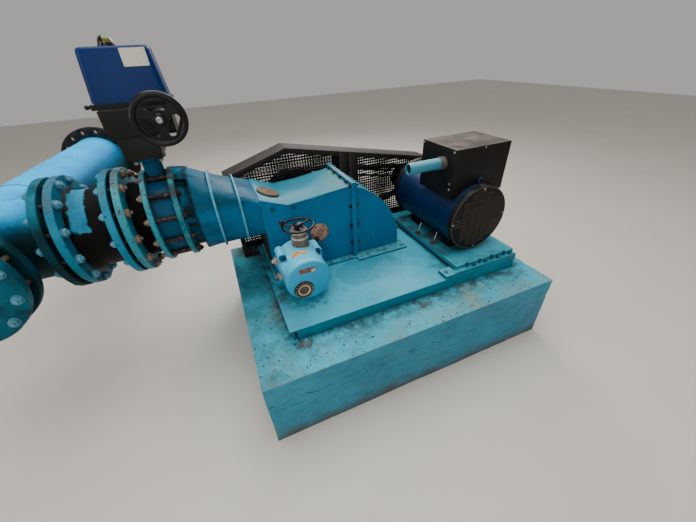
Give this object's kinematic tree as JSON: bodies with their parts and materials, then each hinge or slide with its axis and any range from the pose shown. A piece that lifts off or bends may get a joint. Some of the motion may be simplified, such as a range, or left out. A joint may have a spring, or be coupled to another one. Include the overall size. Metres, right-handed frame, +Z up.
{
  "type": "cross-flow hydro turbine and generator set",
  "caption": "Small hydro plant: cross-flow turbine with inlet valve and pipe tee, belt drive in a mesh guard, and a generator, on a painted concrete plinth.",
  "frame": {"origin": "centre of the concrete plinth's underside, on the floor", "axes": "+X along the plinth's long side, from the inlet pipe to the generator; +Y from the front to the belt guard; +Z up"},
  "size_m": [3.2538, 2.5227, 1.855],
  "materials": {
    "plinth_paint": "light blue paint on concrete, worn grey along the top edges, stained",
    "light_blue_paint": "glossy light blue enamel, scuffed, with rust at edges",
    "teal_paint": "deep teal enamel over welded plate, faded lighter on top",
    "deep_blue_paint": "gloss dark blue paint",
    "navy_paint": "dark navy paint, dusty",
    "black_paint": "satin black paint, dusty",
    "bitumen_coat": "black bitumen coating on cast iron",
    "rusty_steel": "bare steel gone brown with rust",
    "bright_steel": "machined shaft steel",
    "pulley_iron": "dark cast iron",
    "belt_rubber": "black rubber belts",
    "gasket_rubber": "black sealing rubber",
    "mesh_paint": "perforated sheet, black paint",
    "drab_paint": "dusty brown-grey steel",
    "dark_plastic": "dark glossy cap"
  },
  "bodies": {
    "plant": {"concrete_plinth": "plinth_paint", "base_channel_front": "light_blue_paint", "base_channel_rear": "light_blue_paint", "base_channel_left": "light_blue_paint", "base_channel_right": "light_blue_paint", "deck_plate": "light_blue_paint", "turbine_inlet_casing": "teal_paint", "turbine_hood": "teal_paint", "inspection_cover": "rusty_steel", "bearing_cap_front": "rusty_steel", "bearing_housing_rear": "deep_blue_paint", "generator_end_cover": "black_paint", "generator_barrel": "navy_paint", "generator_drive_end_bell": "black_paint", "generator_foot_front": "navy_paint", "generator_foot_rear": "navy_paint", "terminal_box": "black_paint", "conduit_stub": "light_blue_paint", "slide_rail_front": "light_blue_paint", "slide_rail_rear": "light_blue_paint", "generator_tray": "light_blue_paint", "drive_belts": "belt_rubber", "guard_front_mesh": "mesh_paint", "guard_rear_mesh": "mesh_paint", "guard_end_left": "drab_paint", "guard_end_right": "drab_paint", "guard_top_left": "drab_paint", "guard_top_right": "drab_paint", "inlet_reducer": "teal_paint", "butterfly_valve_body": "deep_blue_paint", "joint_flange_ring": "light_blue_paint", "joint_sleeve": "bitumen_coat", "joint_flange_middle": "light_blue_paint", "joint_gasket": "gasket_rubber", "cast_spool": "bitumen_coat", "tee_gasket": "gasket_rubber", "tee_header": "light_blue_paint", "header_pipe": "light_blue_paint", "header_far_flange": "black_paint", "header_spacer": "bitumen_coat", "blind_flange": "light_blue_paint", "valve_gearbox_lower": "black_paint", "valve_gearbox_upper": "black_paint", "valve_drive_housing": "deep_blue_paint", "valve_indicator_dome": "dark_plastic", "vane_drive_body": "light_blue_paint", "vane_drive_bracket": "teal_paint", "vane_drive_neck": "rusty_steel"},
    "turbine_rotor": {"turbine_shaft": "bright_steel", "turbine_pulley": "pulley_iron"},
    "generator_rotor": {"generator_shaft": "bright_steel", "generator_pulley": "pulley_iron"},
    "valve_wheel": {"valve_handwheel": "black_paint"},
    "vane_wheel": {"vane_handwheel": "black_paint"}
  },
  "joints": [
    {"name": "turbine_spin", "type": "hinge", "parent": "plant", "child": "turbine_rotor", "pos_m": [-0.375, 0.59, 0.795], "axis": [0, 1, 0], "continuous": true},
    {"name": "generator_spin", "type": "hinge", "parent": "plant", "child": "generator_rotor", "pos_m": [0.597, 0.59, 0.814], "axis": [0, 1, 0], "continuous": true},
    {"name": "valve_wheel_turn", "type": "hinge", "parent": "plant", "child": "valve_wheel", "pos_m": [-1.042, 0.005, 1.542], "axis": [0, 1, 0], "continuous": true},
    {"name": "vane_wheel_turn", "type": "hinge", "parent": "plant", "child": "vane_wheel", "pos_m": [-0.538, -0.102, 0.952], "axis": [0, 0, 1], "continuous": true}
  ],
  "couplings": [
    {"joint": "generator_spin", "follows": "turbine_spin", "ratio": 2.381}
  ]
}
